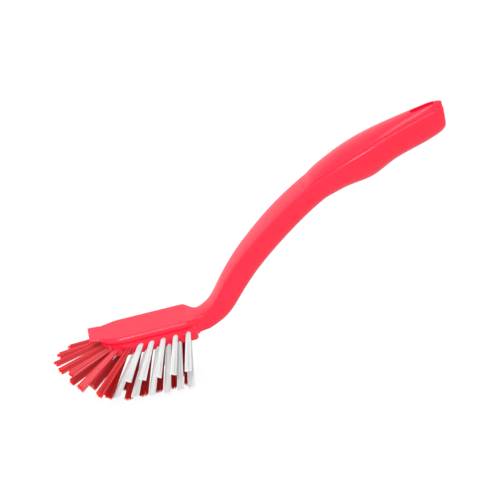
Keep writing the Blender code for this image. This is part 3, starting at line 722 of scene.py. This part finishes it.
def build_tufts(plan):
    chance = np.random.RandomState(CHANCE_SEED)
    finish = {colour: filament_material(colour) for colour in FILAMENT_TONES}
    for name, mouth, way, length, colour, level in plan:
        floor = trim_height(name, mouth, way, length, level)
        flare, painted_brightness = tuft_look(name, colour)
        mesh = filaments(name + "_filaments", hole_frame(mouth, way), length, floor, colour,
                         flare, painted_brightness, chance)
        mesh.transform(TO_WORLD)
        mesh.shade_smooth()
        mesh.set_sharp_from_angle(angle=math.radians(FILAMENT_SHARP))
        tuft = add_object(name + "_filaments", mesh)
        tuft.data.materials.append(finish[colour])
        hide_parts(name)
        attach(tuft, "root")


def new_material(name):
    """A new material with its nodes, its links and its shader."""
    material = bpy.data.materials.new(name)
    material.use_nodes = True
    tree = material.node_tree
    return material, tree.nodes, tree.links, tree.nodes["Principled BSDF"]


def plastic_material():
    """Coral polypropylene: satin gloss, a little cloudiness in its depth and a fine moulded grain."""
    material, nodes, links, shader = new_material("coral_polypropylene")
    place = nodes.new("ShaderNodeTexCoord")
    cloud = nodes.new("ShaderNodeTexNoise")
    cloud.inputs["Scale"].default_value = CLOUD_SCALE
    cloud.inputs["Detail"].default_value = 3.0
    ramp = nodes.new("ShaderNodeValToRGB")
    for stop, position, tone in zip(ramp.color_ramp.elements, (0.35, 0.70), PLASTIC_TONES):
        stop.position = position
        stop.color = (*tone, 1.0)
    links.new(place.outputs["Object"], cloud.inputs["Vector"])
    links.new(cloud.outputs["Fac"], ramp.inputs["Fac"])
    links.new(ramp.outputs["Color"], shader.inputs["Base Color"])
    shader.inputs["Specular IOR Level"].default_value = 0.42
    shader.inputs["Sheen Weight"].default_value = 0.05
    shader.inputs["Sheen Roughness"].default_value = 0.35
    shader.inputs["Sheen Tint"].default_value = (0.7, 0.3, 1.0, 1.0)
    grain = nodes.new("ShaderNodeTexNoise")
    grain.inputs["Scale"].default_value = GRAIN_SCALE
    grain.inputs["Detail"].default_value = 2.0
    links.new(place.outputs["Object"], grain.inputs["Vector"])
    gloss = nodes.new("ShaderNodeMapRange")
    gloss.inputs["To Min"].default_value = PLASTIC_ROUGHNESS[0]
    gloss.inputs["To Max"].default_value = PLASTIC_ROUGHNESS[1]
    links.new(grain.outputs["Fac"], gloss.inputs["Value"])
    links.new(gloss.outputs["Result"], shader.inputs["Roughness"])
    bump = nodes.new("ShaderNodeBump")
    bump.inputs["Strength"].default_value = 0.05
    bump.inputs["Distance"].default_value = GRAIN_HEIGHT
    links.new(grain.outputs["Fac"], bump.inputs["Height"])
    links.new(bump.outputs["Normal"], shader.inputs["Normal"])
    return material


def filament_material(colour):
    """Filament bundle: every filament has its own tone, painted darker towards its hole for the shade
    there, and its cut tip another.
    """
    dark, light, cut = FILAMENT_TONES[colour]
    material, nodes, links, shader = new_material(colour + "_filament")
    tone = nodes.new("ShaderNodeAttribute")
    tone.attribute_name = "tone"
    ramp = nodes.new("ShaderNodeValToRGB")
    ramp.color_ramp.elements[0].color = (*dark, 1.0)
    ramp.color_ramp.elements[1].color = (*light, 1.0)
    links.new(tone.outputs["Fac"], ramp.inputs["Fac"])
    run = nodes.new("ShaderNodeAttribute")
    run.attribute_name = "run"
    # Painted shade: the tone is darkened towards the filament's hole
    depth = nodes.new("ShaderNodeMapRange")
    depth.inputs["From Max"].default_value = ROOT_REACH
    depth.inputs["To Min"].default_value = ROOT_PAINTED_SHADE[colour]
    links.new(run.outputs["Fac"], depth.inputs["Value"])
    shaded_tone = nodes.new("ShaderNodeVectorMath")
    shaded_tone.operation = "SCALE"
    links.new(ramp.outputs["Color"], shaded_tone.inputs["Vector"])
    links.new(depth.outputs["Result"], shaded_tone.inputs["Scale"])
    tip = nodes.new("ShaderNodeMapRange")
    tip.inputs["From Min"].default_value = CUT_START
    tip.inputs["From Max"].default_value = CUT_END
    links.new(run.outputs["Fac"], tip.inputs["Value"])
    blend = nodes.new("ShaderNodeMix")
    blend.data_type = "RGBA"
    blend.inputs["B"].default_value = (*cut, 1.0)
    links.new(tip.outputs["Result"], blend.inputs["Factor"])
    links.new(shaded_tone.outputs["Vector"], blend.inputs["A"])
    links.new(blend.outputs["Result"], shader.inputs["Base Color"])
    shader.inputs["Roughness"].default_value = FILAMENT_ROUGHNESS[colour]
    shader.inputs["Specular IOR Level"].default_value = 0.28
    return material


def build_stage():
    """A pale floor that keeps the brush's soft shadow, under a white studio."""
    mesh = bpy.data.meshes.new("studio_floor")
    reach = FLOOR_SIZE / 2
    mesh.from_pydata([(-reach, -reach, 0), (reach, -reach, 0), (reach, reach, 0), (-reach, reach, 0)],
                     [], [(0, 1, 2, 3)])
    floor = add_object("studio_floor", mesh)
    material, nodes, links, shader = new_material("studio_floor")
    shader.inputs["Base Color"].default_value = (FLOOR_GREY, FLOOR_GREY, FLOOR_GREY, 1.0)
    shader.inputs["Roughness"].default_value = 0.9
    shader.inputs["Specular IOR Level"].default_value = 0.0
    white = nodes.new("ShaderNodeEmission")
    white.inputs["Strength"].default_value = FLOOR_LEVEL
    path = nodes.new("ShaderNodeLightPath")
    share = nodes.new("ShaderNodeMath")
    share.operation = "MULTIPLY"
    share.inputs[1].default_value = FLOOR_WHITE
    links.new(path.outputs["Is Camera Ray"], share.inputs[0])
    blend = nodes.new("ShaderNodeMixShader")
    links.new(share.outputs["Value"], blend.inputs["Fac"])
    links.new(shader.outputs["BSDF"], blend.inputs[1])
    links.new(white.outputs["Emission"], blend.inputs[2])
    links.new(blend.outputs["Shader"], nodes["Material Output"].inputs["Surface"])
    floor.data.materials.append(material)


def build_world():
    """A white studio, which lights the brush evenly and shows full white where it is seen."""
    world = bpy.data.worlds.new("studio")
    world.use_nodes = True
    nodes, links = world.node_tree.nodes, world.node_tree.links
    sky = nodes["Background"]
    sky.inputs["Color"].default_value = (1.0, 1.0, 1.0, 1.0)
    path = nodes.new("ShaderNodeLightPath")
    seen = nodes.new("ShaderNodeMath")
    seen.operation = "MAXIMUM"
    links.new(path.outputs["Is Camera Ray"], seen.inputs[0])
    links.new(path.outputs["Is Glossy Ray"], seen.inputs[1])
    clear = nodes.new("ShaderNodeMath")
    clear.operation = "MAXIMUM"
    links.new(seen.outputs["Value"], clear.inputs[0])
    links.new(path.outputs["Is Transmission Ray"], clear.inputs[1])
    level = nodes.new("ShaderNodeMapRange")
    level.inputs["To Min"].default_value = WORLD_LEVEL
    level.inputs["To Max"].default_value = 1.0
    links.new(clear.outputs["Value"], level.inputs["Value"])
    links.new(level.outputs["Result"], sky.inputs["Strength"])
    bpy.context.scene.world = world


def add_light(name, place, size, power):
    """A square soft light that faces the brush."""
    lamp = bpy.data.lights.new(name, "AREA")
    lamp.shape = "SQUARE"
    lamp.size = size
    lamp.energy = power
    item = bpy.data.objects.new(name, lamp)
    item.location = place
    toward = Vector(LIGHT_AIM) - Vector(place)
    item.rotation_euler = toward.to_track_quat("-Z", "Y").to_euler()
    bpy.context.scene.collection.objects.link(item)


def build_camera():
    """The photograph's view of the brush, from its near side."""
    lens = bpy.data.cameras.new("photo_camera")
    lens.sensor_width = 36.0
    lens.lens = CAMERA_LENS
    lens.clip_start, lens.clip_end = 0.05, 20.0
    camera = bpy.data.objects.new("photo_camera", lens)
    turned = (Matrix.Rotation(math.radians(CAMERA_AZIMUTH), 4, "Z")
              @ Matrix.Rotation(math.radians(90 - CAMERA_ELEVATION), 4, "X")
              @ Matrix.Rotation(math.radians(CAMERA_ROLL), 4, "Z"))
    away = Matrix.Translation(Vector((0.0, 0.0, CAMERA_DISTANCE)))
    camera.matrix_world = Matrix.Translation(SHIFT + Vector(CAMERA_TARGET)) @ turned @ away
    bpy.context.scene.collection.objects.link(camera)
    bpy.context.scene.camera = camera


build_camera()
build_world()
for light, (place, size, power) in LIGHTS.items():
    add_light(light, place, size, power)
build_stage()
tuft_plan = plan_tufts()
build_body(tuft_plan)
build_tufts(tuft_plan)
bpy.context.scene.view_settings.view_transform = "Standard"
